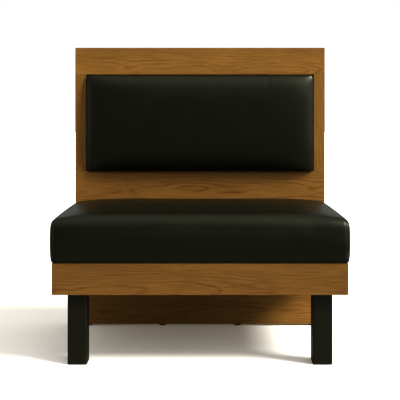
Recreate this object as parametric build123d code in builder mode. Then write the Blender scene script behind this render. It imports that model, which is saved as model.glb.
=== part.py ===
from build123d import *

import os
from math import cos, radians, sin

# Restaurant booth seat. A framed wooden back stands on the floor and holds an upholstered pad in its
# opening. A box of rails is bolted to the back and stands on two square steel legs at the front. A
# boxed cushion on a plywood board lies on the rails, kept in place by four blocks, and lifts off.
#
# Millimetres. X runs across the seat, Y from the sitter's feet to the back, Z up. The origin is on
# the floor, at the centre of the whole seat's box.

os.makedirs("parts", exist_ok=True)

# Overall sizes
seat_width = 960.0
overall_height = 1070.0
seat_depth = 545.0

# Clearances and small sizes that many pieces share
touch_gap = 0.3
bore_clearance = 0.1
arris_radius = 0.8
overrun = 2.0

# Back frame
frame_thickness = 38.0
top_rail_height = 103.0
stile_width = 42.0
opening_height = 372.0
rear_panel_thickness = 9.0
glide_height = 6.0

# Seat box
rail_height = 102.0
rail_thickness = 20.0
rail_top = 334.0
leg_rail_width = 110.0
leg_rail_thickness = 45.0
centre_rail_width = 45.0
centre_rail_height = 70.0

# Upholstery
cover_thickness = 1.3
cushion_height = 141.0
cushion_seam_inset = 2.5
cushion_front_bulge = 8.0
seat_board_thickness = 15.0
pad_board_thickness = 12.0
pad_batten_thickness = 18.0
pad_proud = 42.0

# Where the faces of the back and the seat box come
overall_depth = cushion_front_bulge + seat_depth + frame_thickness + rear_panel_thickness
rail_front_y = -overall_depth / 2 + cushion_front_bulge
rail_inner_y = rail_front_y + rail_thickness
back_front_y = rail_front_y + seat_depth
back_inner_y = back_front_y + frame_thickness
back_rear_y = back_inner_y + rear_panel_thickness
back_middle_y = (back_front_y + back_inner_y) / 2
rear_rail_front_y = back_front_y - rail_thickness
half_width = seat_width / 2
half_opening = half_width - stile_width
inner_half_width = half_width - rail_thickness
stile_middle_x = half_width - stile_width / 2
opening_top_z = overall_height - top_rail_height
opening_bottom_z = opening_top_z - opening_height
opening_centre_z = (opening_top_z + opening_bottom_z) / 2
rail_bottom = rail_top - rail_height

SIDES = (("left", -1), ("right", 1))


def block(x_range, y_range, z_range):
    """A plain rectangular block between six faces."""
    centre = tuple((low + high) / 2 for low, high in (x_range, y_range, z_range))
    size = tuple(high - low for low, high in (x_range, y_range, z_range))
    with BuildPart() as made:
        with Locations(centre):
            Box(*size)
    return made.part


def rods(plane, points, radius, length):
    """Round rods, or the shapes of bores, that rise from a plane at points on it."""
    with BuildPart() as made:
        with BuildSketch(plane):
            with Locations(*points):
                Circle(radius)
        extrude(amount=length)
    return made.part


def rods_along_x(points, x_low, x_high, radius):
    """Rods between two places on X, at (y, z) points."""
    return rods(Plane.YZ.offset(x_low), points, radius, x_high - x_low)


def rods_along_y(points, y_low, y_high, radius):
    """Rods between two places on Y, at (x, z) points."""
    return rods(Plane.XZ.offset(-y_high), points, radius, y_high - y_low)


def rods_along_z(points, z_low, z_high, radius):
    """Rods between two heights, at (x, y) points."""
    return rods(Plane.XY.offset(z_low), points, radius, z_high - z_low)


def flat_head_screw(shank_radius, head_radius, length, clearance=0.0):
    """A countersunk screw below its flat head at the origin, or its hole where it has a clearance."""
    shank = shank_radius + clearance
    head = head_radius + clearance
    reach = length + clearance
    with BuildPart() as made:
        with BuildSketch(Plane.XZ):
            with BuildLine():
                Polyline(
                    (0, 0), (head, 0), (shank, shank - head), (shank, -reach), (0, -reach), close=True
                )
            make_face()
        revolve(axis=Axis.Z)
    return made.part


def hex_head_bolt(shank_radius, head_radius, head_height, length):
    """A bolt whose hexagonal head stands on the origin's plane, with its shank below."""
    with BuildPart() as made:
        with BuildSketch():
            RegularPolygon(head_radius, 6)
        extrude(amount=head_height)
        with BuildSketch():
            Circle(shank_radius)
        extrude(amount=-length)
    return made.part


def placed(shape, planes):
    """Copies of a shape, each with its own Z axis along a plane's normal."""
    with BuildPart() as made:
        with Locations(*planes):
            add(shape)
    return made.part


def facing(direction, *origin):
    """The plane through a point on a face that looks to the front, the rear or down."""
    normals = {"front": (0, -1, 0), "rear": (0, 1, 0), "down": (0, 0, -1)}
    return Plane(origin=origin, x_dir=(1, 0, 0), z_dir=normals[direction])


def save(part, label):
    """Names a finished piece and writes its file."""
    part.label = label
    export_step(part, f"parts/{label}.step")


# Dowels that join the stiles to the top rail and to the lower panel
frame_dowel_radius = 4.0
frame_dowel_length = 50.0
frame_dowel_spacing = 20.0

frame_dowel_points = [
    (side * stile_middle_x + offset, back_middle_y)
    for _, side in SIDES
    for offset in (-frame_dowel_spacing / 2, frame_dowel_spacing / 2)
]


def frame_dowels(clearance):
    """The dowels across both joints of both stiles, or their bores."""
    reach = frame_dowel_length / 2 + clearance
    radius = frame_dowel_radius + clearance
    with BuildPart() as made:
        for level in (opening_top_z, opening_bottom_z):
            add(rods_along_z(frame_dowel_points, level - reach, level + reach, radius))
    return made.part


frame_dowel_bores = frame_dowels(bore_clearance)

with BuildPart() as back_frame_dowels:
    add(frame_dowels(0.0))
save(back_frame_dowels.part, "back_frame_dowels")

# Screws that hold the rear panel to the top rail, the stiles and the lower panel
panel_screw_radius = 2.0
panel_screw_head_radius = 4.2
panel_screw_length = 30.0
panel_screw_edge = 45.0
panel_screws_per_row = 5
lower_screw_row_shares = (0.12, 0.5, 0.93)

panel_screw_pitch = (seat_width - 2 * panel_screw_edge) / (panel_screws_per_row - 1)
panel_screw_columns = [
    -half_width + panel_screw_edge + panel_screw_pitch * i for i in range(panel_screws_per_row)
]
lower_panel_height = opening_bottom_z - glide_height
panel_screw_levels = [
    overall_height - top_rail_height / 2,
    *(glide_height + lower_panel_height * share for share in lower_screw_row_shares),
]
panel_screw_places = [(x, z) for z in panel_screw_levels for x in panel_screw_columns]
panel_screw_places += [(side * stile_middle_x, opening_centre_z) for _, side in SIDES]
panel_screw_planes = [facing("rear", x, back_rear_y, z) for x, z in panel_screw_places]


def panel_screw(clearance):
    """One screw of the rear panel, or its hole."""
    return flat_head_screw(
        panel_screw_radius, panel_screw_head_radius, panel_screw_length, clearance
    )


panel_screw_holes = placed(panel_screw(bore_clearance), panel_screw_planes)

with BuildPart() as rear_panel_screws:
    add(placed(panel_screw(0.0), panel_screw_planes))
save(rear_panel_screws.part, "rear_panel_screws")

# Bolts that hold the seat box to the back, and the threaded sleeves that they turn into
seat_bolt_radius = 4.0
seat_bolt_hole_clearance = 0.5
seat_bolt_head_radius = 7.5
seat_bolt_head_height = 5.3
seat_bolt_rise = 30.0
seat_bolt_end_gap = 3.0
washer_radius = 12.0
washer_thickness = 2.0
sleeve_radius = 6.0
sleeve_length = 25.0
seat_bolt_shares = (-0.8, -0.3, 0.3, 0.8)

seat_bolt_points = [(share * half_width, rail_bottom + seat_bolt_rise) for share in seat_bolt_shares]
sleeve_end_y = back_front_y + sleeve_length
seat_bolt_length = washer_thickness + rail_thickness + sleeve_length - seat_bolt_end_gap
seat_bolt_bores = rods_along_y(
    seat_bolt_points,
    rear_rail_front_y - washer_thickness - overrun,
    back_front_y + overrun,
    seat_bolt_radius + seat_bolt_hole_clearance,
)

with BuildPart() as threaded_sleeves:
    add(rods_along_y(seat_bolt_points, back_front_y, sleeve_end_y, sleeve_radius))
    add(
        rods_along_y(
            seat_bolt_points,
            back_front_y - overrun,
            sleeve_end_y + overrun,
            seat_bolt_radius + bore_clearance,
        ),
        mode=Mode.SUBTRACT,
    )
save(threaded_sleeves.part, "threaded_sleeves")

with BuildPart() as seat_bolt_washers:
    add(
        rods_along_y(
            seat_bolt_points, rear_rail_front_y - washer_thickness, rear_rail_front_y, washer_radius
        )
    )
    add(seat_bolt_bores, mode=Mode.SUBTRACT)
save(seat_bolt_washers.part, "seat_bolt_washers")

with BuildPart() as seat_to_back_bolts:
    add(
        placed(
            hex_head_bolt(
                seat_bolt_radius, seat_bolt_head_radius, seat_bolt_head_height, seat_bolt_length
            ),
            [facing("front", x, rear_rail_front_y - washer_thickness, z) for x, z in seat_bolt_points],
        )
    )
save(seat_to_back_bolts.part, "seat_to_back_bolts")

# Top rail of the back
with BuildPart() as back_top_rail:
    add(
        block(
            (-half_width, half_width),
            (back_front_y, back_inner_y),
            (opening_top_z, overall_height),
        )
    )
    fillet(back_top_rail.edges(), arris_radius)
    add(frame_dowel_bores, mode=Mode.SUBTRACT)
    add(panel_screw_holes, mode=Mode.SUBTRACT)
save(back_top_rail.part, "back_top_rail")

# Stiles, one at each side of the opening
for side_name, side in SIDES:
    with BuildPart() as stile:
        add(
            block(
                sorted((side * half_opening, side * half_width)),
                (back_front_y, back_inner_y),
                (opening_bottom_z, opening_top_z),
            )
        )
        fillet(stile.edges(), arris_radius)
        add(frame_dowel_bores, mode=Mode.SUBTRACT)
        add(panel_screw_holes, mode=Mode.SUBTRACT)
    save(stile.part, f"back_{side_name}_stile")

# Nail-on glides that the back stands on
glide_radius = 15.0
glide_edge_radius = 1.5
glide_pin_radius = 1.5
glide_pin_length = 16.0
glide_shares = (-0.9, -0.3, 0.3, 0.9)

glide_points = [(share * half_width, back_middle_y) for share in glide_shares]

for number, glide_point in enumerate(glide_points, start=1):
    with BuildPart() as glide:
        with BuildSketch():
            with Locations(glide_point):
                Circle(glide_radius)
        extrude(amount=glide_height)
        fillet(glide.edges().sort_by(Axis.Z)[0], glide_edge_radius)
        add(
            rods_along_z(
                [glide_point], glide_height, glide_height + glide_pin_length, glide_pin_radius
            )
        )
    save(glide.part, f"back_glide_{number}")

# Lower panel of the back, from the opening down to the glides
with BuildPart() as back_lower_panel:
    add(
        block(
            (-half_width, half_width),
            (back_front_y, back_inner_y),
            (glide_height, opening_bottom_z),
        )
    )
    fillet(back_lower_panel.edges(), arris_radius)
    add(frame_dowel_bores, mode=Mode.SUBTRACT)
    add(panel_screw_holes, mode=Mode.SUBTRACT)
    add(
        rods_along_y(
            seat_bolt_points,
            back_front_y - overrun,
            sleeve_end_y + bore_clearance,
            sleeve_radius + bore_clearance,
        ),
        mode=Mode.SUBTRACT,
    )
    add(
        rods_along_z(
            glide_points,
            glide_height - overrun,
            glide_height + glide_pin_length + bore_clearance,
            glide_pin_radius + bore_clearance,
        ),
        mode=Mode.SUBTRACT,
    )
save(back_lower_panel.part, "back_lower_panel")

# Battens behind the pad, and the screws that go through them into the pad's board
pad_batten_width = 70.0
pad_batten_shares = (-0.68, 0.0, 0.68)
pad_screw_radius = 2.5
pad_screw_head_radius = 5.0
pad_screw_rise = 110.0
pad_screw_bite_share = 0.8

batten_front_y = back_inner_y - pad_batten_thickness
batten_middles = [share * half_opening for share in pad_batten_shares]
pad_screw_length = (
    rear_panel_thickness
    + pad_batten_thickness
    + cover_thickness
    + pad_board_thickness * pad_screw_bite_share
)
pad_screw_planes = [
    facing("rear", x, back_rear_y, opening_centre_z + rise)
    for x in batten_middles
    for rise in (-pad_screw_rise, pad_screw_rise)
]


def pad_screw(clearance):
    """One screw of the pad, or its hole."""
    return flat_head_screw(pad_screw_radius, pad_screw_head_radius, pad_screw_length, clearance)


pad_screw_holes = placed(pad_screw(bore_clearance), pad_screw_planes)

with BuildPart() as pad_screws:
    add(placed(pad_screw(0.0), pad_screw_planes))
save(pad_screws.part, "pad_screws")

for batten_name, middle in zip(("left", "centre", "right"), batten_middles):
    with BuildPart() as batten:
        add(
            block(
                (middle - pad_batten_width / 2, middle + pad_batten_width / 2),
                (batten_front_y, back_inner_y),
                (opening_bottom_z, opening_top_z),
            )
        )
        add(pad_screw_holes, mode=Mode.SUBTRACT)
    save(batten.part, f"pad_{batten_name}_batten")

# Rear panel, which closes the opening and the battens from behind
with BuildPart() as back_rear_panel:
    add(
        block(
            (-half_width, half_width), (back_inner_y, back_rear_y), (glide_height, overall_height)
        )
    )
    fillet(back_rear_panel.edges(), arris_radius)
    add(panel_screw_holes, mode=Mode.SUBTRACT)
    add(pad_screw_holes, mode=Mode.SUBTRACT)
save(back_rear_panel.part, "back_rear_panel")

# Dowels of the seat box, from the front and rear rails into the pieces between them
box_dowel_radius = 4.0
box_dowel_length = 36.0
box_dowel_seat = 12.0
leg_rail_dowel_inset = 22.0
side_rail_dowel_shares = (0.2, 0.54)
centre_rail_dowel_shares = (0.28, 0.72)

leg_rail_bottom = rail_top - leg_rail_thickness
leg_rail_inner_x = inner_half_width - leg_rail_width
centre_rail_bottom = rail_top - centre_rail_height
side_rail_dowel_levels = [rail_bottom + rail_height * share for share in side_rail_dowel_shares]
cross_dowel_points = [
    (side * x, rail_top - leg_rail_thickness / 2)
    for _, side in SIDES
    for x in (leg_rail_inner_x + leg_rail_dowel_inset, inner_half_width - leg_rail_dowel_inset)
]
cross_dowel_points += [
    (0.0, centre_rail_bottom + centre_rail_height * share) for share in centre_rail_dowel_shares
]
side_rail_dowel_points = [
    (side * (half_width - rail_thickness / 2), z)
    for _, side in SIDES
    for z in side_rail_dowel_levels
]
rear_rail_dowel_points = [(back_front_y - rail_thickness / 2, z) for z in side_rail_dowel_levels]


def box_dowels(clearance):
    """The dowels of the seat box, or their bores."""
    radius = box_dowel_radius + clearance
    in_rail = box_dowel_seat + clearance
    beyond = box_dowel_length - box_dowel_seat + clearance
    front_points = cross_dowel_points + side_rail_dowel_points
    with BuildPart() as made:
        add(rods_along_y(front_points, rail_inner_y - in_rail, rail_inner_y + beyond, radius))
        add(
            rods_along_y(
                cross_dowel_points, rear_rail_front_y - beyond, rear_rail_front_y + in_rail, radius
            )
        )
        for _, side in SIDES:
            ends = sorted((side * (inner_half_width - beyond), side * (inner_half_width + in_rail)))
            add(rods_along_x(rear_rail_dowel_points, *ends, radius))
    return made.part


box_dowel_bores = box_dowels(bore_clearance)

with BuildPart() as seat_box_dowels:
    add(box_dowels(0.0))
save(seat_box_dowels.part, "seat_box_dowels")

# Rails of the seat box: the front one across the whole width, the side ones behind it
with BuildPart() as seat_front_rail:
    add(block((-half_width, half_width), (rail_front_y, rail_inner_y), (rail_bottom, rail_top)))
    fillet(seat_front_rail.edges(), arris_radius)
    add(box_dowel_bores, mode=Mode.SUBTRACT)
save(seat_front_rail.part, "seat_front_rail")

for side_name, side in SIDES:
    with BuildPart() as side_rail:
        add(
            block(
                sorted((side * inner_half_width, side * half_width)),
                (rail_inner_y, back_front_y),
                (rail_bottom, rail_top),
            )
        )
        fillet(side_rail.edges().filter_by(Axis.Y), arris_radius)
        add(box_dowel_bores, mode=Mode.SUBTRACT)
    save(side_rail.part, f"seat_{side_name}_rail")

with BuildPart() as seat_rear_rail:
    add(
        block(
            (-inner_half_width, inner_half_width),
            (rear_rail_front_y, back_front_y),
            (rail_bottom, rail_top),
        )
    )
    add(box_dowel_bores, mode=Mode.SUBTRACT)
    add(seat_bolt_bores, mode=Mode.SUBTRACT)
save(seat_rear_rail.part, "seat_rear_rail")

# Centre rail, which carries the middle of the cushion
with BuildPart() as seat_centre_rail:
    add(
        block(
            (-centre_rail_width / 2, centre_rail_width / 2),
            (rail_inner_y, rear_rail_front_y),
            (centre_rail_bottom, rail_top),
        )
    )
    add(box_dowel_bores, mode=Mode.SUBTRACT)
save(seat_centre_rail.part, "seat_centre_rail")

# Legs: square steel tube welded under a plate, which coach screws hold to a wide rail in the box
leg_size = 63.5
leg_wall = 3.0
leg_corner_radius = 5.0
leg_end_offset = 48.0
leg_setback = 22.0
foot_height = 5.0
foot_chamfer = 2.0
foot_plug_depth = 24.0
plate_width = 98.0
plate_length = 106.0
plate_thickness = 5.0
plate_corner_radius = 4.0
plate_hole_inset = 9.0
plate_front_hole = 32.0
coach_screw_radius = 3.0
coach_screw_hole_clearance = 0.5
coach_screw_head_radius = 5.8
coach_screw_head_height = 4.0
coach_screw_length = 38.0

leg_middle_x = half_width - leg_end_offset - leg_size / 2
leg_front_y = rail_front_y + leg_setback
leg_middle_y = leg_front_y + leg_size / 2
plate_bottom = leg_rail_bottom - plate_thickness
plate_middle_y = leg_front_y + plate_length / 2
leg_bore_size = leg_size - 2 * leg_wall
leg_bore_radius = leg_corner_radius - leg_wall
foot_plug_size = leg_bore_size - 2 * bore_clearance
coach_screw_points = [
    (side * leg_middle_x + across, leg_front_y + along)
    for _, side in SIDES
    for across in (plate_hole_inset - plate_width / 2, plate_width / 2 - plate_hole_inset)
    for along in (plate_front_hole, plate_length - plate_hole_inset)
]
coach_screw_bores = rods_along_z(
    coach_screw_points,
    leg_rail_bottom - overrun,
    plate_bottom + coach_screw_length + bore_clearance,
    coach_screw_radius + bore_clearance,
)
plate_holes = rods_along_z(
    coach_screw_points,
    plate_bottom - overrun,
    leg_rail_bottom + overrun,
    coach_screw_radius + coach_screw_hole_clearance,
)

with BuildPart() as leg_coach_screws:
    add(
        placed(
            hex_head_bolt(
                coach_screw_radius,
                coach_screw_head_radius,
                coach_screw_head_height,
                coach_screw_length,
            ),
            [facing("down", x, y, plate_bottom) for x, y in coach_screw_points],
        )
    )
save(leg_coach_screws.part, "leg_coach_screws")

for side_name, side in SIDES:
    leg_place = (side * leg_middle_x, leg_middle_y)

    with BuildPart() as leg_rail:
        add(
            block(
                sorted((side * leg_rail_inner_x, side * inner_half_width)),
                (rail_inner_y, rear_rail_front_y),
                (leg_rail_bottom, rail_top),
            )
        )
        add(box_dowel_bores, mode=Mode.SUBTRACT)
        add(coach_screw_bores, mode=Mode.SUBTRACT)
    save(leg_rail.part, f"{side_name}_leg_rail")

    with BuildPart() as leg_plate:
        with BuildSketch(Plane.XY.offset(plate_bottom)):
            with Locations((side * leg_middle_x, plate_middle_y)):
                RectangleRounded(plate_width, plate_length, plate_corner_radius)
        extrude(amount=plate_thickness)
        add(plate_holes, mode=Mode.SUBTRACT)
    save(leg_plate.part, f"{side_name}_leg_plate")

    with BuildPart() as leg_tube:
        with BuildSketch(Plane.XY.offset(foot_height)):
            with Locations(leg_place):
                RectangleRounded(leg_size, leg_size, leg_corner_radius)
                RectangleRounded(leg_bore_size, leg_bore_size, leg_bore_radius, mode=Mode.SUBTRACT)
        extrude(amount=plate_bottom - foot_height)
    save(leg_tube.part, f"{side_name}_leg_tube")

    with BuildPart() as foot_cap:
        with BuildSketch():
            with Locations(leg_place):
                RectangleRounded(leg_size, leg_size, leg_corner_radius)
        extrude(amount=foot_height)
        chamfer(foot_cap.faces().sort_by(Axis.Z)[0].edges(), foot_chamfer)
        with BuildSketch(Plane.XY.offset(foot_height)):
            with Locations(leg_place):
                RectangleRounded(foot_plug_size, foot_plug_size, leg_bore_radius)
        extrude(amount=foot_plug_depth)
    save(foot_cap.part, f"{side_name}_foot_cap")

# Seat cushion: a main panel over the top and the front, sewn at each side to a gusset that bulges
cushion_side_bulge = 9.0
cushion_crown_across = 14.5
cushion_crown_along = 4.0
cushion_front_roll = 36.0
cushion_rear_roll = 14.0
cushion_rear_gap = 0.5
cushion_crown_power = 6
station_shares = (-1.0, -0.96, -0.88, -0.7, -0.38, 0.0, 0.38, 0.7, 0.88, 0.96, 1.0)
front_top_lean_share = 0.6
front_middle_share = 0.64
gusset_draw_in = 55.0
gusset_draw_in_shares = (0.0, 0.16, 0.47, 1.0)
gusset_bulge_shares = (0.0, 0.52, 0.82, 1.0)

cushion_seam_x = half_width - cushion_seam_inset
cushion_rear_y = back_front_y - cushion_rear_gap
cushion_bottom = rail_top
cushion_seam_top = cushion_bottom + cushion_height


def cushion_outline(top, draw_in, skin):
    """The cushion's outline from its side, its Y and Z as a sketch's X and Y.

    The outline is drawn in alike all round, as the gusset is, and it lies a skin's depth inside the
    cover's outer face. Its rolls and bulges soften as it is drawn in.
    """
    inset = draw_in + skin
    soften = 1 - draw_in / (2 * gusset_draw_in)
    front_roll = (cushion_front_roll - skin) * soften
    rear_roll = (cushion_rear_roll - skin) * soften
    low = cushion_bottom + inset
    high = top - inset
    rear = cushion_rear_y - inset
    front_foot = rail_front_y + cushion_seam_inset + inset
    front_top = rail_front_y - cushion_front_bulge * front_top_lean_share + inset
    front_middle = rail_front_y - cushion_front_bulge * soften + inset
    roll_foot = high - front_roll
    roll_end = front_top + front_roll
    rear_roll_end = rear - rear_roll
    slant = cos(radians(45))
    with BuildLine() as outline:
        ThreePointArc(
            (front_foot, low),
            (front_middle, low + (roll_foot - low) * front_middle_share),
            (front_top, roll_foot),
        )
        ThreePointArc(
            (front_top, roll_foot),
            (roll_end - front_roll * slant, roll_foot + front_roll * slant),
            (roll_end, high),
        )
        ThreePointArc(
            (roll_end, high),
            ((roll_end + rear_roll_end) / 2, high + cushion_crown_along * soften),
            (rear_roll_end, high),
        )
        ThreePointArc(
            (rear_roll_end, high),
            (rear_roll_end + rear_roll * slant, high - rear_roll + rear_roll * slant),
            (rear, high - rear_roll),
        )
        Polyline((rear, high - rear_roll), (rear, low), (front_foot, low))
    return outline.wire()


def cushion_middle(skin):
    """The cushion between its two seams, crowned across the seat."""
    with BuildPart() as made:
        for share in station_shares:
            crown = cushion_crown_across * (1 - abs(share) ** cushion_crown_power)
            with BuildSketch(Plane.YZ.offset(share * (cushion_seam_x - skin))):
                add(cushion_outline(cushion_seam_top + crown, 0.0, skin))
                make_face()
        loft()
    return made.part


def cushion_gusset(side, skin):
    """One side of the cushion beyond its seam."""
    with BuildPart() as made:
        for draw_in_share, bulge_share in zip(gusset_draw_in_shares, gusset_bulge_shares):
            x = side * (cushion_seam_x - skin + bulge_share * cushion_side_bulge)
            with BuildSketch(Plane.YZ.offset(x)):
                add(cushion_outline(cushion_seam_top, draw_in_share * gusset_draw_in, skin))
                make_face()
        loft()
    return made.part


def cushion_body(skin):
    """The whole cushion, a skin's depth inside the cover's outer face."""
    with BuildPart() as made:
        add(cushion_middle(skin))
        for _, side in SIDES:
            add(cushion_gusset(side, skin))
    return made.part


# Blocks under the cushion that drop into the box, and the screws that hold them to the board
locating_block_length = 60.0
locating_block_width = 25.0
locating_block_height = 30.0
locating_edge = 2.0
locating_clearance = 2.0
block_screw_radius = 2.0
block_screw_head_radius = 4.0
block_screw_bite_share = 0.7

locating_bottom = cushion_bottom - locating_block_height
locating_x = leg_rail_inner_x - locating_clearance - locating_block_length / 2
locating_rows = (
    ("front", rail_inner_y + locating_clearance + locating_block_width / 2),
    ("rear", rear_rail_front_y - locating_clearance - locating_block_width / 2),
)
block_screw_length = (
    locating_block_height + cover_thickness + seat_board_thickness * block_screw_bite_share
)
block_screw_planes = [
    facing("down", side * locating_x + offset, y, locating_bottom)
    for _, side in SIDES
    for _, y in locating_rows
    for offset in (-locating_block_length / 4, locating_block_length / 4)
]


def block_screw(clearance):
    """One screw of a locating block, or its hole."""
    return flat_head_screw(
        block_screw_radius, block_screw_head_radius, block_screw_length, clearance
    )


block_screw_holes = placed(block_screw(bore_clearance), block_screw_planes)

with BuildPart() as locating_block_screws:
    add(placed(block_screw(0.0), block_screw_planes))
save(locating_block_screws.part, "locating_block_screws")

for row_name, row_y in locating_rows:
    for side_name, side in SIDES:
        with BuildPart() as locating_block:
            with BuildSketch(Plane.XY.offset(locating_bottom)):
                with Locations((side * locating_x, row_y)):
                    Rectangle(locating_block_length, locating_block_width)
            extrude(amount=locating_block_height)
            chamfer(locating_block.faces().sort_by(Axis.Z)[0].edges(), locating_edge)
            add(block_screw_holes, mode=Mode.SUBTRACT)
        save(locating_block.part, f"{row_name}_{side_name}_locating_block")

# Cover of the seat cushion, drawn under the board as a band, with a dust cover inside the band
seat_cover_return = 45.0
seat_board_corner = 4.0

foam_skin = cover_thickness + touch_gap
seat_board_bottom = cushion_bottom + cover_thickness
seat_board_top = seat_board_bottom + seat_board_thickness
cushion_foot_y = rail_front_y + cushion_seam_inset


def inside_cushion(inset, z_range):
    """A block that stays a given distance inside the foot of the cushion."""
    return block(
        (inset - cushion_seam_x, cushion_seam_x - inset),
        (cushion_foot_y + inset, cushion_rear_y - inset),
        z_range,
    )


with BuildPart() as seat_cushion_cover:
    add(cushion_body(0.0))
    add(cushion_body(cover_thickness), mode=Mode.SUBTRACT)
    add(
        inside_cushion(seat_cover_return, (cushion_bottom - overrun, seat_board_bottom + overrun)),
        mode=Mode.SUBTRACT,
    )
    add(block_screw_holes, mode=Mode.SUBTRACT)
save(seat_cushion_cover.part, "seat_cushion_cover")

with BuildPart() as seat_dust_cover:
    add(inside_cushion(seat_cover_return + touch_gap, (cushion_bottom, seat_board_bottom)))
    add(block_screw_holes, mode=Mode.SUBTRACT)
save(seat_dust_cover.part, "seat_dust_cover")

with BuildPart() as seat_board:
    add(inside_cushion(foam_skin, (seat_board_bottom, seat_board_top)))
    fillet(seat_board.edges().filter_by(Axis.Z), seat_board_corner)
    add(block_screw_holes, mode=Mode.SUBTRACT)
save(seat_board.part, "seat_board")

with BuildPart() as seat_cushion_foam:
    add(cushion_body(foam_skin))
    split(bisect_by=Plane.XY.offset(seat_board_top + touch_gap), keep=Keep.TOP)
save(seat_cushion_foam.part, "seat_cushion_foam")

# Back pad: a cover drawn over foam and a plywood board, and under the board as a band
pad_gap = 1.5
pad_side_bow = 3.0
pad_corner_radius = 9.0
pad_roll_start = 12.0
pad_roll_width = 62.0
pad_corner_growth_share = 0.7
pad_cover_return = 40.0
pad_roll_angles = (0, 25, 45, 61, 76, 90)

pad_half_width = half_opening - pad_gap
pad_half_height = opening_height / 2 - pad_gap
pad_board_rear_y = batten_front_y - cover_thickness
pad_board_front_y = pad_board_rear_y - pad_board_thickness


def pad_plane(y):
    """The plane across the pad at a place on Y, seen from the front."""
    return facing("front", 0, y, opening_centre_z)


def pad_outline(draw_in, skin):
    """The pad's outline from the front: four sides that bow outwards, and four round corners."""
    half_x = pad_half_width - skin - draw_in
    half_z = pad_half_height - skin - draw_in
    radius = pad_corner_radius - skin + pad_corner_growth_share * draw_in
    corner_x = half_x - pad_side_bow - radius
    corner_z = half_z - pad_side_bow - radius
    with BuildLine() as outline:
        ThreePointArc(
            (0, half_z), (corner_x / 2, half_z - pad_side_bow / 4), (corner_x, half_z - pad_side_bow)
        )
        CenterArc((corner_x, corner_z), radius, 90, -90)
        ThreePointArc(
            (half_x - pad_side_bow, corner_z), (half_x - pad_side_bow / 4, corner_z / 2), (half_x, 0)
        )
        mirror(about=Plane.XZ)
        mirror(about=Plane.YZ)
    return outline.wire()


def pad_body(skin):
    """The pad from its rear face to its crown, a skin's depth inside the cover's outer face."""
    rear_y = batten_front_y - skin
    roll_y = back_front_y - pad_roll_start + skin
    roll_depth = pad_proud - pad_roll_start
    with BuildPart() as made:
        with BuildSketch(pad_plane(rear_y)):
            add(pad_outline(0.0, skin))
            make_face()
        extrude(amount=rear_y - roll_y)
        for angle in pad_roll_angles:
            draw_in = pad_roll_width * (1 - cos(radians(angle)))
            with BuildSketch(pad_plane(roll_y - roll_depth * sin(radians(angle)))):
                add(pad_outline(draw_in, skin))
                make_face()
        loft()
    return made.part


with BuildPart() as pad_cover:
    add(pad_body(0.0))
    add(pad_body(cover_thickness), mode=Mode.SUBTRACT)
    add(
        block(
            (pad_cover_return - pad_half_width, pad_half_width - pad_cover_return),
            (pad_board_rear_y - overrun, batten_front_y + overrun),
            (
                opening_centre_z - pad_half_height + pad_cover_return,
                opening_centre_z + pad_half_height - pad_cover_return,
            ),
        ),
        mode=Mode.SUBTRACT,
    )
save(pad_cover.part, "pad_cover")

with BuildPart() as pad_board:
    with BuildSketch(pad_plane(pad_board_rear_y)):
        add(pad_outline(0.0, foam_skin))
        make_face()
    extrude(amount=pad_board_thickness)
    add(pad_screw_holes, mode=Mode.SUBTRACT)
save(pad_board.part, "pad_board")

with BuildPart() as pad_foam:
    add(pad_body(foam_skin))
    split(bisect_by=pad_plane(pad_board_front_y - touch_gap), keep=Keep.TOP)
save(pad_foam.part, "pad_foam")
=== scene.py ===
from math import pi, radians, sin

import bmesh
import bpy
import numpy as np
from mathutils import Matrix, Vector


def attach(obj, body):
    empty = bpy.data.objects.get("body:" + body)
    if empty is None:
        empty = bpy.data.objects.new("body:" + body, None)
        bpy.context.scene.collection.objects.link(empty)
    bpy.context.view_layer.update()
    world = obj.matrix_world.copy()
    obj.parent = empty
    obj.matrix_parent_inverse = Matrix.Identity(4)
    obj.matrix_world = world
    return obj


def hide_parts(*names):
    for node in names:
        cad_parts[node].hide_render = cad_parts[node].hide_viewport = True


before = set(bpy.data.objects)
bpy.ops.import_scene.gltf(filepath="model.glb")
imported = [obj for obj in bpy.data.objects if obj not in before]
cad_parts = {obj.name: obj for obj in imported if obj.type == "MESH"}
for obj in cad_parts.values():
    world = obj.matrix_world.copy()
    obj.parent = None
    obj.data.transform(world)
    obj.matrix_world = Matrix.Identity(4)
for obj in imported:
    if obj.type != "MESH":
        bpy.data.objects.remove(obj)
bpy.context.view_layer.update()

# The view, the floor and the light.
# A level camera stands three metres in front, with its picture shifted down. A soft lamp stands
# high on the right, in a pale room with a bright ceiling and a glow in front on the right.
bpy.ops.object.select_all(action="DESELECT")
bpy.ops.object.camera_add(location=(0.0, -3.1365, 0.8304), rotation=(radians(90), 0.0, 0.0))
camera = bpy.context.object
camera.data.lens = 79.2
camera.data.sensor_width = 36.0
camera.data.shift_y = -0.225
bpy.context.scene.camera = camera
bpy.context.scene.view_settings.view_transform = "Standard"
bpy.context.scene.view_settings.gamma = 0.75


def add_node(tree, kind, inputs=None, **settings):
    """One node, with its settings, and with a value or a link for each input that is named."""
    made = tree.nodes.new("ShaderNode" + kind)
    for name, value in settings.items():
        setattr(made, name, value)
    for name, value in (inputs or {}).items():
        if isinstance(value, bpy.types.NodeSocket):
            tree.links.new(value, made.inputs[name])
        else:
            made.inputs[name].default_value = value
    return made


def calculate(tree, operation, *values):
    """The result of one sum on numbers or links."""
    return add_node(tree, "Math", dict(enumerate(values)), operation=operation).outputs[0]


def spread(tree, value, start, end, low=0.0, high=1.0, smooth=False):
    """A value that goes from low to high while another goes from start to end."""
    kind = "SMOOTHSTEP" if smooth else "LINEAR"
    limits = {"Value": value, "From Min": start, "From Max": end, "To Min": low, "To Max": high}
    return add_node(tree, "MapRange", limits, interpolation_type=kind).outputs[0]


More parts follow.
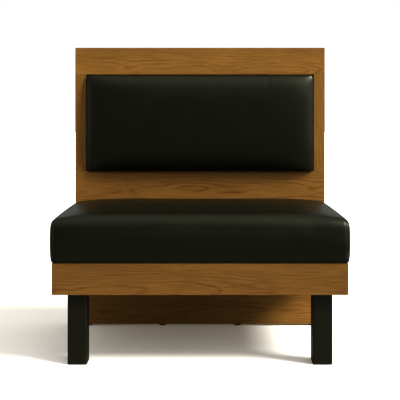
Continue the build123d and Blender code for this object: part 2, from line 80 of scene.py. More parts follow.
def mix(tree, factor, a, b):
    """One colour going over into another."""
    inputs = {"Factor": factor}
    for name, colour in (("A", a), ("B", b)):
        inputs[name] = colour if isinstance(colour, bpy.types.NodeSocket) else (*colour, 1.0)
    return add_node(tree, "Mix", inputs, data_type="RGBA").outputs["Result"]


def new_material(name, base=None, **fixed):
    """A material with its own surface shader, and the values that are the same all over it."""
    made = bpy.data.materials.new(name)
    made.use_nodes = True
    shader = made.node_tree.nodes["Principled BSDF"]
    if base:
        shader.inputs["Base Color"].default_value = (*base, 1.0)
    for socket, value in fixed.items():
        shader.inputs[socket.replace("_", " ")].default_value = value
    return made, made.node_tree, shader


# The floor glows faintly and warmly to the camera alone: painted light that lifts and warms the
# shadows on it. Other rays see the floor darker, so that it bounces less light.
floor_colour, floor_bounce = (0.74, 0.735, 0.69), (0.257, 0.253, 0.239)
floor_painted_glow, floor_painted_glow_strength = (1.0, 0.86, 0.68, 1.0), 0.13
bpy.ops.object.select_all(action="DESELECT")
bpy.ops.mesh.primitive_plane_add(size=60.0, location=(0.0, 0.0, 0.0))
floor = bpy.context.object
floor.name = "floor"
floor_paint, tree, shader = new_material(
    "pale floor", Roughness=0.9, Specular_IOR_Level=0.0, Emission_Color=floor_painted_glow
)
seen = add_node(tree, "LightPath").outputs["Is Camera Ray"]
tree.links.new(mix(tree, seen, floor_bounce, floor_colour), shader.inputs["Base Color"])
painted_glow = calculate(tree, "MULTIPLY", seen, floor_painted_glow_strength)
tree.links.new(painted_glow, shader.inputs["Emission Strength"])
floor.data.materials.append(floor_paint)

lamp_direction = Vector((-0.65, 0.29, -0.65))
bpy.ops.object.light_add(type="SUN", rotation=lamp_direction.to_track_quat("-Z", "Y").to_euler())
lamp = bpy.context.object
lamp.data.energy = 7.0
lamp.data.angle = radians(20)
lamp.data.color = (1.0, 0.985, 0.96)

left_wall, right_wall = 1.55, 3.1
ceiling, behind, glow = (0.0, -0.27, 0.963), (0.0, 1.0, 0.0), (0.45, -0.76, 0.47)
room = bpy.data.worlds.new("pale room")
bpy.context.scene.world = room
room.use_nodes = True
tree = room.node_tree
way = add_node(tree, "TexCoord").outputs["Generated"]
sideways = add_node(tree, "SeparateXYZ", {"Vector": way}).outputs["X"]
walls = calculate(tree, "POWER", calculate(tree, "ABSOLUTE", sideways), 4.0)
wall_light = spread(tree, sideways, -1.0, 1.0, left_wall, right_wall)
light = calculate(tree, "MULTIPLY", walls, wall_light)
for toward, narrowness, power in ((ceiling, 3.0, 1.95), (behind, 2.0, 0.7), (glow, 18.0, 2.4)):
    facing = add_node(tree, "VectorMath", {0: way, 1: toward}, operation="DOT_PRODUCT")
    facing = calculate(tree, "MAXIMUM", facing.outputs["Value"], 0.0)
    lit = calculate(tree, "POWER", facing, narrowness)
    light = calculate(tree, "MULTIPLY_ADD", lit, power, light)
seen = add_node(tree, "LightPath").outputs["Is Camera Ray"]
strength = add_node(tree, "Mix", {"Factor": seen, "A": light, "B": 1.0}, data_type="FLOAT")
background = tree.nodes["Background"]
tree.links.new(strength.outputs["Result"], background.inputs["Strength"])
background.inputs["Color"].default_value = (1.0, 1.0, 1.0, 1.0)

# The oak rails of the seat box.
# Solid oak boards in a honey stain under a satin lacquer, with an eased edge. Their grain runs
# along each board: wavy growth lines, fine streaks between them, and short dark pores.
oak_pale, oak_deep = (0.308, 0.166, 0.043), (0.19, 0.0935, 0.0193)
oak_line, oak_rings = (0.138, 0.051, 0.008), 135.0


def noise(tree, place, scale, detail, **more):
    """A cloudy pattern whose value goes from 0 to 1."""
    inputs = {"Vector": place, "Scale": scale, "Detail": detail, **more}
    return add_node(tree, "TexNoise", inputs).outputs["Fac"]


def wood_figure():
    """The group that draws the grain. Its vector's X runs along the board, in metres."""
    tree = bpy.data.node_groups.new("wood figure", "ShaderNodeTree")
    tree.interface.new_socket(name="Vector", in_out="INPUT", socket_type="NodeSocketVector")
    tree.interface.new_socket(name="Rings per metre", in_out="INPUT", socket_type="NodeSocketFloat")
    for name in ("Lines", "Streaks", "Tone", "Pores"):
        tree.interface.new_socket(name=name, in_out="OUTPUT", socket_type="NodeSocketFloat")
    given = tree.nodes.new("NodeGroupInput").outputs
    out = tree.nodes.new("NodeGroupOutput")

    def cloud(scale, detail, roughness=0.55):
        """Noise that is drawn out along the board."""
        mapped = add_node(tree, "Mapping", {"Vector": given["Vector"], "Scale": scale}).outputs[0]
        return noise(tree, mapped, 1.0, detail, Roughness=roughness)

    across = add_node(
        tree, "VectorMath", {0: given["Vector"], 1: (0.0, 0.8, 1.0)}, operation="MULTIPLY"
    ).outputs[0]
    radius = add_node(tree, "VectorMath", {0: across}, operation="LENGTH").outputs["Value"]
    for scale, detail, sway in (((1.7, 4.5, 4.5), 2.0, 0.045), ((7.0, 36.0, 36.0), 3.0, 0.0045)):
        wave = spread(tree, cloud(scale, detail), 0, 1, -sway, sway)
        radius = calculate(tree, "ADD", radius, wave)
    year = calculate(tree, "FRACT", calculate(tree, "MULTIPLY", radius, given["Rings per metre"]))
    late = spread(tree, year, 0.58, 0.92, smooth=True)
    lines = calculate(tree, "MULTIPLY", late, spread(tree, year, 0.9, 1.0, 1.0, 0.0, smooth=True))
    patchy = spread(tree, cloud((3.2, 42.0, 42.0), 3.0), 0.38, 0.62)
    tree.links.new(calculate(tree, "MULTIPLY", lines, patchy), out.inputs["Lines"])
    streaks = calculate(tree, "MULTIPLY", cloud((9.0, 190.0, 190.0), 4.0, 0.65), 0.6)
    streaks = calculate(tree, "MULTIPLY_ADD", cloud((14.0, 520.0, 520.0), 2.0), 0.4, streaks)
    tree.links.new(streaks, out.inputs["Streaks"])
    tree.links.new(cloud((2.0, 11.0, 11.0), 3.0), out.inputs["Tone"])
    tree.links.new(spread(tree, cloud((55.0, 1500.0, 1500.0), 1.0), 0.6, 0.72), out.inputs["Pores"])
    return tree


figure = wood_figure()
turns = {"X": (0.0, 0.0, 0.0), "Y": (0.0, 0.0, radians(-90)), "Z": (0.0, radians(90), 0.0)}


def grain_of(tree, along, shift, rings):
    """The grain of a board that lies along X, Y or Z, moved so that no two boards look the same."""
    place = add_node(tree, "TexCoord").outputs["Object"]
    turned = add_node(tree, "Mapping", {"Vector": place, "Rotation": turns[along]}).outputs[0]
    moved = add_node(tree, "Mapping", {"Vector": turned, "Location": shift}).outputs[0]
    inputs = {"Vector": moved, "Rings per metre": rings}
    return add_node(tree, "Group", inputs, node_tree=figure).outputs


def give_texture(tree, shader, relief, strength, depth, **varied):
    """Links what changes over a surface, such as its colour, and gives it a fine relief."""
    for socket, value in varied.items():
        tree.links.new(value, shader.inputs[socket.replace("_", " ")])
    bump = add_node(tree, "Bump", {"Height": relief, "Strength": strength, "Distance": depth})
    tree.links.new(bump.outputs[0], shader.inputs["Normal"])


def oak(name, along, shift, tone_and_shade=1.0, bold=0.72, joint=0.0, below=(0.0, 0.0, 0.0), painted_light_under_seat=1.0):
    """Stained and lacquered oak. A first value under 1 darkens the whole board: its own colour, and
    on the front rail and the left stile also painted shade. Bold is how strong its lines are. Below
    the height of a glued joint lies another board, with its grain moved on by below, and lightened
    there by painted light that lifts the shade under the seat."""
    made, tree, shader = new_material(
        name, Specular_IOR_Level=0.14, Coat_Weight=0.04, Coat_Roughness=0.28
    )
    place = add_node(tree, "TexCoord").outputs["Object"]
    height = add_node(tree, "SeparateXYZ", {"Vector": place}).outputs["Z"]
    lower_board_and_painted_light = calculate(tree, "LESS_THAN", height, joint)
    moved = add_node(tree, "VectorMath", {0: below, 1: lower_board_and_painted_light, 2: shift}, operation="MULTIPLY_ADD")
    grain = grain_of(tree, along, moved.outputs[0], oak_rings)
    colour = mix(tree, spread(tree, grain["Streaks"], 0.32, 0.68), oak_pale, oak_deep)
    # The board is darkened, partly by painted shade, and below the joint lightened by painted light
    # that lifts the shade under the seat.
    tone_and_painted_light = spread(tree, grain["Tone"], 0.3, 0.7, 0.88 * tone_and_shade, 1.12 * tone_and_shade)
    tone_and_painted_light = calculate(tree, "MULTIPLY", tone_and_painted_light, spread(tree, lower_board_and_painted_light, 0.0, 1.0, 1.0, painted_light_under_seat))
    colour = add_node(tree, "VectorMath", {0: colour, "Scale": tone_and_painted_light}, operation="SCALE").outputs[0]
    line = tuple(tone_and_shade * value for value in oak_line)
    for mark, strength in ((grain["Lines"], bold), (grain["Pores"], 0.35)):
        colour = mix(tree, calculate(tree, "MULTIPLY", mark, strength), colour, line)
    roughness = spread(tree, grain["Streaks"], 0.0, 1.0, 0.36, 0.52)
    relief = calculate(tree, "MULTIPLY_ADD", grain["Pores"], -0.7, grain["Streaks"])
    give_texture(tree, shader, relief, 0.25, 0.0004, Base_Color=colour, Roughness=roughness)
    return made


def dress(material, *nodes):
    """Gives a CAD node its finish."""
    for node in nodes:
        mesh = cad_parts[node].data
        mesh.materials.clear()
        mesh.materials.append(material)


# The front rail is darkened partly by painted shade, as if less lit than the top rail.
dress(oak("oak, front rail", "X", (3.1, 0.25, -0.24), tone_and_shade=0.7), "seat_front_rail")
dress(oak("oak, left side rail", "Y", (0.7, 0.4, -0.22)), "seat_left_rail")
dress(oak("oak, right side rail", "Y", (2.7, -0.41, -0.2)), "seat_right_rail")

# The rails inside the seat box, and its dowels.
# Planed pine without a finish: a rear rail, a middle rail that carries the board, and two wide
# rails that the legs are screwed to. Birch dowels, 8 mm thick, and glue hold the box together.


def softwood(name, along, shift, light=(0.56, 0.39, 0.2), dark=(0.45, 0.28, 0.12), rings=150.0):
    """Plain planed wood, pale, with soft growth lines."""
    made, tree, shader = new_material(name, Specular_IOR_Level=0.2)
    grain = grain_of(tree, along, shift, rings)
    streaks = grain["Streaks"]
    colour = mix(tree, spread(tree, streaks, 0.3, 0.7), light, dark)
    line = tuple(0.62 * value for value in dark)
    colour = mix(tree, calculate(tree, "MULTIPLY", grain["Lines"], 0.72), colour, line)
    roughness = spread(tree, grain["Tone"], 0.3, 0.7, 0.58, 0.74)
    give_texture(tree, shader, streaks, 0.4, 0.0005, Base_Color=colour, Roughness=roughness)
    return made


dress(softwood("pine, rear rail", "X", (0.1, -0.21, -0.28)), "seat_rear_rail")
dress(
    softwood("pine, leg and middle rails", "Y", (0.4, 0.03, -0.3)),
    "seat_centre_rail",
    "left_leg_rail",
    "right_leg_rail",
)
birch = softwood(
    "birch dowel", "X", (0.3, 0.02, -0.05), (0.62, 0.47, 0.28), (0.52, 0.36, 0.19), rings=240.0
)
dress(birch, "seat_box_dowels")

# The legs.
# Square steel tube, 2.5 inches wide, with a top plate welded on that coach screws hold under the
# leg rail. Tube and plate have a pebbled black powder coat, and a moulded cap fills the foot.
coat_black, coat_dust, dust_height = (0.0066, 0.0072, 0.0038), (0.03, 0.027, 0.02), 0.07
powder, tree, shader = new_material(
    "black powder coat", Specular_IOR_Level=0.28, Specular_Tint=(1.0, 1.0, 0.74, 1.0)
)
place = add_node(tree, "TexCoord").outputs["Object"]
height = add_node(tree, "SeparateXYZ", {"Vector": place}).outputs["Z"]
scuffs = noise(tree, place, 26.0, 6.0, Roughness=0.62)
near_floor = spread(tree, height, 0.0, dust_height, 1.0, 0.0, smooth=True)
dusty = calculate(tree, "MULTIPLY", near_floor, spread(tree, scuffs, 0.45, 0.75, 0.0, 0.5))
colour = mix(tree, dusty, coat_black, coat_dust)
roughness = spread(tree, scuffs, 0.3, 0.7, 0.4, 0.52)
pebbles = noise(tree, place, 620.0, 1.0)
give_texture(tree, shader, pebbles, 0.3, 0.0004, Base_Color=colour, Roughness=roughness)
dress(powder, "left_leg_tube", "right_leg_tube", "left_leg_plate", "right_leg_plate")

plastic_black, plastic_rubbed = (0.009, 0.009, 0.0085), (0.02, 0.019, 0.017)
plastic, tree, shader = new_material("black moulded plastic", Specular_IOR_Level=0.35)
place = add_node(tree, "TexCoord").outputs["Object"]
rubbed = noise(tree, place, 70.0, 5.0)
colour = mix(tree, spread(tree, rubbed, 0.4, 0.75), plastic_black, plastic_rubbed)
roughness = spread(tree, rubbed, 0.3, 0.7, 0.48, 0.66)
spark = noise(tree, place, 1400.0, 1.0)
give_texture(tree, shader, spark, 0.25, 0.0002, Base_Color=colour, Roughness=roughness)
dress(plastic, "left_foot_cap", "right_foot_cap")

zinc_bright, zinc_dull = (0.62, 0.63, 0.64), (0.42, 0.41, 0.38)
zinc, tree, shader = new_material("bright zinc plate", Metallic=1.0)
place = add_node(tree, "TexCoord").outputs["Object"]
bloom = noise(tree, place, 240.0, 4.0)
colour = mix(tree, spread(tree, bloom, 0.35, 0.7), zinc_bright, zinc_dull)
roughness = spread(tree, bloom, 0.3, 0.7, 0.24, 0.5)
give_texture(tree, shader, bloom, 0.15, 0.0001, Base_Color=colour, Roughness=roughness)
dress(zinc, "leg_coach_screws")

# The frame of the back.
# Four oak boards, dowelled and glued: a top rail and a tall lower panel with their grain across,
# and two short upright stiles between them. The panel is glued up, with its joint behind the seat.
# Below its joint the lower panel is lightened by painted light, which lifts the shade under the
# seat.
lower_panel = oak(
    "oak, lower panel",
    "X",
    (-0.4, -0.29, -0.52),
    tone_and_shade=0.87,
    bold=0.95,
    joint=0.34,
    below=(-0.17, 0.006, 0.465),
    painted_light_under_seat=1.32,
)
dress(lower_panel, "back_lower_panel")
# The left stile is darkened by painted shade: the shadow of the pad that falls on it.
dress(oak("oak, left stile", "Z", (0.2, -0.29, -0.46), tone_and_shade=0.78), "back_left_stile")
dress(oak("oak, right stile", "Z", (1.3, -0.29, 0.44), tone_and_shade=0.92), "back_right_stile")
dress(oak("oak, top rail", "X", (0.31, -0.29, -0.985), tone_and_shade=0.9), "back_top_rail")
dress(birch, "back_frame_dowels")

# The battens and the rear panel, with its screws and the glides.
# Three pine battens cross the opening for the pad, and a thin plywood panel is screwed over the
# whole back. Four plastic glides with steel nails are driven in under the lower edge.
veneer_light, veneer_dark, veneer_line = (0.6, 0.45, 0.27), (0.5, 0.35, 0.19), (0.36, 0.22, 0.1)
ply_thickness, ply_light, ply_dark = 0.0016, (0.5, 0.36, 0.2), (0.27, 0.16, 0.07)


def plywood(name, along, thin, shift):
    """Birch plywood: a pale face veneer, and plies by turns light and dark on the cut edges."""
    made, tree, shader = new_material(name, Specular_IOR_Level=0.2)
    grain = grain_of(tree, along, shift, 60.0)
    streaks = grain["Streaks"]
    face = mix(tree, spread(tree, streaks, 0.3, 0.7), veneer_light, veneer_dark)
    face = mix(tree, calculate(tree, "MULTIPLY", grain["Lines"], 0.3), face, veneer_line)
    found = add_node(tree, "TexCoord").outputs
    depth = add_node(tree, "SeparateXYZ", {"Vector": found["Object"]}).outputs[thin]
    normal = add_node(tree, "SeparateXYZ", {"Vector": found["Normal"]}).outputs[thin]
    layer = calculate(tree, "PINGPONG", depth, ply_thickness)
    turn = spread(tree, layer, 0.35 * ply_thickness, 0.65 * ply_thickness, smooth=True)
    edge = mix(tree, turn, ply_light, ply_dark)
    is_face = spread(tree, calculate(tree, "ABSOLUTE", normal), 0.6, 0.7)
    colour = mix(tree, is_face, edge, face)
    roughness = spread(tree, grain["Tone"], 0.3, 0.7, 0.55, 0.7)
    give_texture(tree, shader, streaks, 0.3, 0.0004, Base_Color=colour, Roughness=roughness)
    return made


battens = softwood("pine, battens", "Z", (0.1, -0.25, -0.1))
dress(battens, "pad_left_batten", "pad_centre_batten", "pad_right_batten")
dress(plywood("plywood, rear panel", "Z", "Y", (0.1, -0.22, 0.2)), "back_rear_panel")
dress(zinc, "rear_panel_screws")
dress(plastic, "back_glide_1", "back_glide_2", "back_glide_3", "back_glide_4")

# The bolts that hold the seat box to the back.
# Zinc plated machine bolts and washers go through the rear rail from inside the box, and turn
# into threaded steel sleeves that are set in the lower panel.
dress(zinc, "seat_to_back_bolts", "seat_bolt_washers", "threaded_sleeves")

# The back pad.
# Black vinyl drawn over foam on a plywood board and stapled behind it, with its corners folded.
# Screws through the battens hold it, and it sags a little over the lower edge of its opening.
dress(plywood("plywood, pad board", "X", "Y", (0.2, -0.2, -0.7)), "pad_board")
dress(zinc, "pad_screws")

vinyl, tree, shader = new_material(
    "black vinyl",
    (0.0032, 0.0038, 0.001),
    Specular_IOR_Level=0.27,
    Specular_Tint=(1.0, 1.0, 0.75, 1.0),
)
place = add_node(tree, "TexCoord").outputs["Object"]
handled = noise(tree, place, 9.0, 4.0)
roughness = spread(tree, handled, 0.3, 0.7, 0.37, 0.44)
hide = add_node(tree, "TexVoronoi", {"Vector": place, "Scale": 620.0}, feature="SMOOTH_F1")
give_texture(tree, shader, hide.outputs["Distance"], 0.12, 0.0003, Roughness=roughness)

cover_cell, pad_crowded, tiny = 0.0101, 0.0604, 1e-5
pad_x, pad_low, pad_high = 0.4365, 0.5965, 0.9655
pad_rear, pad_roll_start = 0.273, 0.241
pad_middle, pad_half = (pad_low + pad_high) / 2, (pad_high - pad_low) / 2
edge_width, edge_depth, dome_depth, pad_corner = 0.043, 0.0165, 0.014, 0.013
corner_widening, corner_reach, corner_drop = 0.9, 0.13, 0.0065
sag_reach, sag_places, sag_drops = 0.12, (pad_roll_start, 0.252, 0.262), (0.0055, 0.0012, 0.0)


def even_box(name, low, high, cell):
    """A closed box whose faces are divided into nearly square cells."""
    bpy.ops.object.select_all(action="DESELECT")
    bpy.ops.mesh.primitive_cube_add(size=1.0, location=[(a + b) / 2 for a, b in zip(low, high)])
    made = bpy.context.object
    made.name = name
    made.scale = [b - a for a, b in zip(low, high)]
    bpy.ops.object.transform_apply(location=True, rotation=True, scale=True)
    for axis in range(3):
        bpy.ops.object.mode_set(mode="EDIT")
        bpy.ops.mesh.select_mode(type="EDGE")
        bpy.ops.mesh.select_all(action="DESELECT")
        mesh = bmesh.from_edit_mesh(made.data)
        for edge in mesh.edges:
            run = edge.verts[1].co - edge.verts[0].co
            edge.select_set(abs(run[axis]) > 0.9 * run.length)
        bmesh.update_edit_mesh(made.data)
        bpy.ops.mesh.subdivide(number_cuts=round((high[axis] - low[axis]) / cell) - 1)
        bpy.ops.object.mode_set(mode="OBJECT")
    return made


def points_of(obj):
    """The corners of a mesh, as rows of X, Y and Z."""
    found = np.empty(len(obj.data.vertices) * 3)
    obj.data.vertices.foreach_get("co", found)
    return found.reshape(-1, 3)


def move_points(obj, points):
    """Puts the corners of a mesh at these places."""
    obj.data.vertices.foreach_set("co", points.ravel())
    obj.data.update()


def crowd(points, axis, edge, inward, width):
    """Draws the rows of points within a width of an edge closer to it, for a tight turn there."""
    inside = (points[:, axis] - edge) * inward
    drawn = width * (1 - np.cos(pi / 2 * np.clip(inside / width, 0, 1)))
    points[:, axis] = edge + inward * np.where(inside < width, drawn, inside)


def round_corner(points, a, b, centre, radius, signs):
    """Turns the square corner beyond a centre line round, in the plane of axes a and b."""
    away_a = (points[:, a] - centre[0]) * signs[0]
    away_b = (points[:, b] - centre[1]) * signs[1]
    beyond = (away_a > 0) & (away_b > 0)
    factor = np.maximum(away_a, away_b) / np.maximum(np.hypot(away_a, away_b), 1e-9)
    factor = np.where(beyond, factor, 1.0)
    points[:, a] = centre[0] + away_a * factor * signs[0]
    points[:, b] = centre[1] + away_b * factor * signs[1]


def quarter_round(inside, width):
    """Rises from 0 at an edge to 1 at a width inside it, as a quarter of a circle does."""
    return np.sqrt(1 - (1 - np.clip(inside / width, 0, 1)) ** 2)


def pick(obj):
    """Selects one object alone and makes it the active one."""
    bpy.ops.object.select_all(action="DESELECT")
    obj.select_set(True)
    bpy.context.view_layer.objects.active = obj


def swell(obj, held, pressure, most, slack, evened):
    """Lets a cover swell over its foam as cloth under pressure, held where it is sewn or stapled.
    The foam evens out what would crinkle."""
    before = points_of(obj)
    pins = obj.vertex_groups.new(name="held")
    pins.add([int(i) for i in np.flatnonzero(held)], 1.0, "REPLACE")
    cloth = obj.modifiers.new("cover", "CLOTH")
    cloth.settings.quality = 6
    cloth.settings.mass = 0.25
    cloth.settings.tension_stiffness = 25
    cloth.settings.compression_stiffness = 20
    cloth.settings.shear_stiffness = 12
    cloth.settings.bending_stiffness = 1.5
    cloth.settings.use_pressure = True
    cloth.settings.uniform_pressure_force = pressure
    cloth.settings.shrink_min = -slack
    cloth.settings.vertex_group_mass = pins.name
    cloth.settings.effector_weights.gravity = 0.0
    for frame_number in range(1, 21):
        bpy.context.scene.frame_set(frame_number)
    bpy.context.view_layer.objects.active = obj
    bpy.ops.object.modifier_apply(modifier=cloth.name)
    bpy.context.scene.frame_set(1)
    obj.vertex_groups.clear()
    moved = points_of(obj) - before
    ends = np.array([edge.vertices[:] for edge in obj.data.edges])
    met = np.bincount(ends.ravel(), minlength=len(moved))[:, None]
    for _ in range(evened):
        around = np.zeros_like(moved)
        np.add.at(around, ends[:, 0], moved[ends[:, 1]])
        np.add.at(around, ends[:, 1], moved[ends[:, 0]])
        moved = np.where(held[:, None], 0, (moved + around / met) / 2)
    length = np.maximum(np.linalg.norm(moved, axis=1), 1e-9)
    kept = most * (1 - np.exp(-length / most))
    move_points(obj, before + moved * (kept / length)[:, None])


def refine(obj, material):
    """Gives a finished cover its material, one more division and smooth shading."""
    obj.data.materials.append(material)
    pick(obj)
    fine = obj.modifiers.new("fine", "SUBSURF")
    fine.levels = fine.render_levels = 1
    bpy.ops.object.modifier_apply(modifier=fine.name)
    bpy.ops.object.shade_smooth()


pad = even_box(
    "pad_upholstery", (-pad_x, pad_roll_start, pad_low), (pad_x, pad_rear, pad_high), cover_cell
)
place = points_of(pad)
on_face = place[:, 1] < pad_roll_start + tiny
for axis, edge, inward in ((0, -pad_x, 1), (0, pad_x, -1), (2, pad_low, 1), (2, pad_high, -1)):
    crowd(place, axis, edge, inward, pad_crowded)
for side in (-1, 1):
    for end in (-1, 1):
        corner = (side * (pad_x - pad_corner), pad_middle + end * (pad_half - pad_corner))
        round_corner(place, 0, 2, corner, pad_corner, (side, end))

# How far each point of the face lies inside the pad's outline, whose corners widen inwards
away = np.abs(np.stack([place[:, 0], place[:, 2] - pad_middle], axis=1))
nearest, furthest = np.zeros(len(place)), np.full(len(place), edge_width)
for _ in range(30):
    inside = (nearest + furthest) / 2
    radius = pad_corner + corner_widening * inside
    beyond = np.maximum(away - (np.array([pad_x, pad_half]) - (inside + radius)[:, None]), 0)
    outside = np.hypot(beyond[:, 0], beyond[:, 1]) > radius
    furthest = np.where(outside, inside, furthest)
    nearest = np.where(outside, nearest, inside)

# The face is domed, with lower corners, and the foam sags over the lower edge of the opening
dome = (1 - (away[:, 0] / pad_x) ** 6) * (1 - (away[:, 1] / pad_half) ** 2.3)
depth = edge_depth * quarter_round(nearest, edge_width) + dome_depth * dome
from_corner = np.hypot(pad_x - away[:, 0], pad_half - away[:, 1])
depth -= corner_drop * np.clip(1 - from_corner / corner_reach, 0, 1) ** 2
sag = np.interp(place[:, 1], sag_places, sag_drops)
place[:, 2] -= sag * np.clip(1 - (place[:, 2] - pad_low) / sag_reach, 0, 1)
place[:, 1] -= np.where(on_face, depth, 0)
move_points(pad, place)
swell(pad, ~on_face, pressure=4.0, most=0.006, slack=0.003, evened=12)
refine(pad, vinyl)

# The folds at the corners, and the small pulls where the staples draw the edge in behind
fold_reach, fold_width, fold_depth = 0.05, 0.005, 0.0009
pull_width, pulled_until = 0.009, 0.25
place = points_of(pad)
away = np.abs(np.stack([place[:, 0], place[:, 2] - pad_middle], axis=1))
from_side, from_end = pad_x - away[:, 0], pad_half - away[:, 1]
fold = np.clip(1 - np.hypot(from_side, from_end) / fold_reach, 0, 1)
pull = fold_depth * fold * np.exp(-(((from_side - from_end) / fold_width) ** 2))
for pull_x, end, reach, pull_depth in (
    (0.259, 1, 0.06, 0.0016),
    (-0.241, 1, 0.045, 0.0008),
    (-0.154, 1, 0.04, 0.0006),
    (0.05, 1, 0.035, 0.0005),
    (-0.36, -1, 0.04, 0.0007),
    (-0.02, -1, 0.045, 0.0006),
    (0.19, -1, 0.04, 0.0007),
    (0.352, -1, 0.04, 0.0008),
):
    inside = pad_half - end * (place[:, 2] - pad_middle)
    crease = np.exp(-(((place[:, 0] - pull_x) / pull_width) ** 2))
    pull += pull_depth * crease * np.clip(1 - inside / reach, 0, 1)
place[:, 1] += np.where(place[:, 1] < pulled_until, pull, 0)
move_points(pad, place)
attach(pad, "seat_frame")
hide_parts("pad_cover", "pad_foam")

# The board of the seat cushion and its locating blocks.
# The cushion is built on a plywood board. Four pine blocks are screwed up into the board through
# the cover, and drop inside the rails, so the loose cushion can't slide but still lifts off.
dress(plywood("plywood, seat board", "X", "Z", (0.6, 0.1, -0.3)), "seat_board")
dress(
    softwood("pine, locating blocks", "X", (0.5, 0.1, -0.35)),
    "front_left_locating_block",
    "front_right_locating_block",
    "rear_left_locating_block",
    "rear_right_locating_block",
)
dress(zinc, "locating_block_screws")

# The cover of the seat cushion.
# One panel of black vinyl over the top and the front, sewn at each side to a gusset that bulges.
# It is drawn tight over thick foam, turned under the board by 43 mm and stapled there.
seam_x = 0.4775
seat_front, seat_rear = -0.2968, 0.2525
seat_bottom, seat_seam_top = 0.334, 0.4765
front_roll, rear_roll, foot_roll, seat_crowded = 0.03, 0.014, 0.011, 0.0403
seam_drop, lip_width, seam_depth = 0.003, 0.012, 0.0032
cover_return, board_bottom = 0.043, 0.3356
crown_across, crown_along = 0.0135, 0.004
bulge_depth, bulge_width = 0.012, 0.04
belly_reach, belly_heights = 0.06, (0, 0.03, 0.08, 0.13, 0.19, 0.35, 0.5, 0.74, 1)
belly_depths = (0.003, 0.0006, 0.0012, 0.0034, 0.0026, -0.001, -0.0032, 0, 0)
seam_start, seam_fade = 0.345, 0.03

seat = even_box(
    "seat_upholstery",
    (-seam_x, seat_front, seat_bottom),
    (seam_x, seat_rear, seat_seam_top),
    cover_cell,
)
place = points_of(seat)
on_gusset = np.abs(place[:, 0]) > seam_x - tiny
under = place[:, 2] < seat_bottom + tiny
at_rear = place[:, 1] > seat_rear - tiny
for axis, edge, inward in (
    (0, -seam_x, 1),
    (0, seam_x, -1),
    (1, seat_front, 1),
    (2, seat_bottom, 1),
    (2, seat_seam_top, -1),
):
    crowd(place, axis, edge, inward, seat_crowded)

# The rounds of the cover's outline, seen from the end: front, rear and foot
rounds = (
    (seat_front + front_roll, seat_seam_top - front_roll, front_roll, -1, 1),
    (seat_rear - rear_roll, seat_seam_top - rear_roll, rear_roll, 1, 1),
    (seat_front + foot_roll, seat_bottom + foot_roll, foot_roll, -1, -1),
)
for centre_y, centre_z, radius, way_y, way_z in rounds:
    round_corner(place, 1, 2, (centre_y, centre_z), radius, (way_y, way_z))

# How far each point lies inside that outline
from_outline = np.minimum.reduce(
    [
        place[:, 1] - seat_front,
        seat_rear - place[:, 1],
        place[:, 2] - seat_bottom,
        seat_seam_top - place[:, 2],
    ]
)
for centre_y, centre_z, radius, way_y, way_z in rounds:
    away_y = (place[:, 1] - centre_y) * way_y
    away_z = (place[:, 2] - centre_z) * way_z
    beyond = (away_y > 0) & (away_z > 0)
    from_outline = np.where(beyond, radius - np.hypot(away_y, away_z), from_outline)
at_seam = on_gusset & (from_outline < tiny)

# The top is crowned, the front bellies out low down, and the gussets bulge between their seams
rise = (place[:, 2] - seat_bottom) / (seat_seam_top - seat_bottom)
along = (2 * place[:, 1] - seat_front - seat_rear) / (seat_rear - seat_front)
across = place[:, 0] / seam_x
crown = crown_across * (1 - np.abs(across) ** 6) + crown_along * (1 - along**2)
belly = np.interp(rise, belly_heights, belly_depths)
nearness = np.clip(1 - (place[:, 1] - seat_front) / belly_reach, 0, 1)
bulge = bulge_depth * quarter_round(from_outline, bulge_width)
from_seam = seam_x - np.abs(place[:, 0])
drop = np.where(on_gusset, 1.0, 1 - quarter_round(from_seam, lip_width))
within = np.minimum.reduce([from_seam, place[:, 1] - seat_front, seat_rear - place[:, 1]])
above_board = np.clip((place[:, 2] - seam_start) / seam_fade, 0, 1)
place[:, 1] += belly * nearness - seam_drop * drop * along * above_board
place[:, 2] += crown * rise - seam_drop * drop * rise
place[:, 0] += np.where(on_gusset, np.sign(place[:, 0]) * bulge, 0)
place[:, 2] = np.where(under & (within > cover_return), board_bottom, place[:, 2])
move_points(seat, place)
swell(seat, at_seam | under | at_rear, pressure=4.0, most=0.005, slack=0.003, evened=12)

# The seam is pulled in between the panel and the gusset, the panel gathers a little along it, and
# the front edge has the shallow dents of a cushion that has been sat on
close_gather, wide_gather, gather_depth, gather_reach = 0.0083, 0.0121, 0.0004, 0.014
roll_height, dent_reach = 0.487, 0.075
place = points_of(seat)
facing = np.array([corner.normal[:] for corner in seat.data.vertices])
run = place[:, 1] - place[:, 2]
gathers = np.sin(run / close_gather) + np.sin(run / wide_gather + 1.7 * np.sign(place[:, 0]))
from_seam = seam_x - np.abs(place[:, 0])
pull = gather_depth * gathers * np.exp(-from_seam / gather_reach) * ~on_gusset * ~under
from_roll = np.hypot(place[:, 1] - seat_front, place[:, 2] - roll_height)
on_roll = np.clip(1 - from_roll / dent_reach, 0, 1)
for dent_x, dent_width, dent_depth in (
    (0.365, 0.03, 0.0009),
    (0.425, 0.016, -0.0005),
    (0.22, 0.04, 0.0004),
    (-0.08, 0.05, 0.0004),
    (-0.33, 0.03, 0.0005),
):
    pull += dent_depth * on_roll * np.exp(-(((place[:, 0] - dent_x) / dent_width) ** 2))
pull += seam_depth * (at_seam & ~under) * (0.15 + 0.85 * above_board)
move_points(seat, place - facing * pull[:, None])
pick(seat)
bpy.ops.object.mode_set(mode="EDIT")
mesh = bmesh.from_edit_mesh(seat.data)
for edge in mesh.edges:
    edge.select_set(bool(at_seam[edge.verts[0].index] and at_seam[edge.verts[1].index]))
bmesh.update_edit_mesh(seat.data)
bpy.ops.transform.edge_crease(value=1.0)
bpy.ops.object.mode_set(mode="OBJECT")
refine(seat, vinyl)
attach(seat, "seat_cushion")
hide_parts("seat_cushion_cover", "seat_cushion_foam")

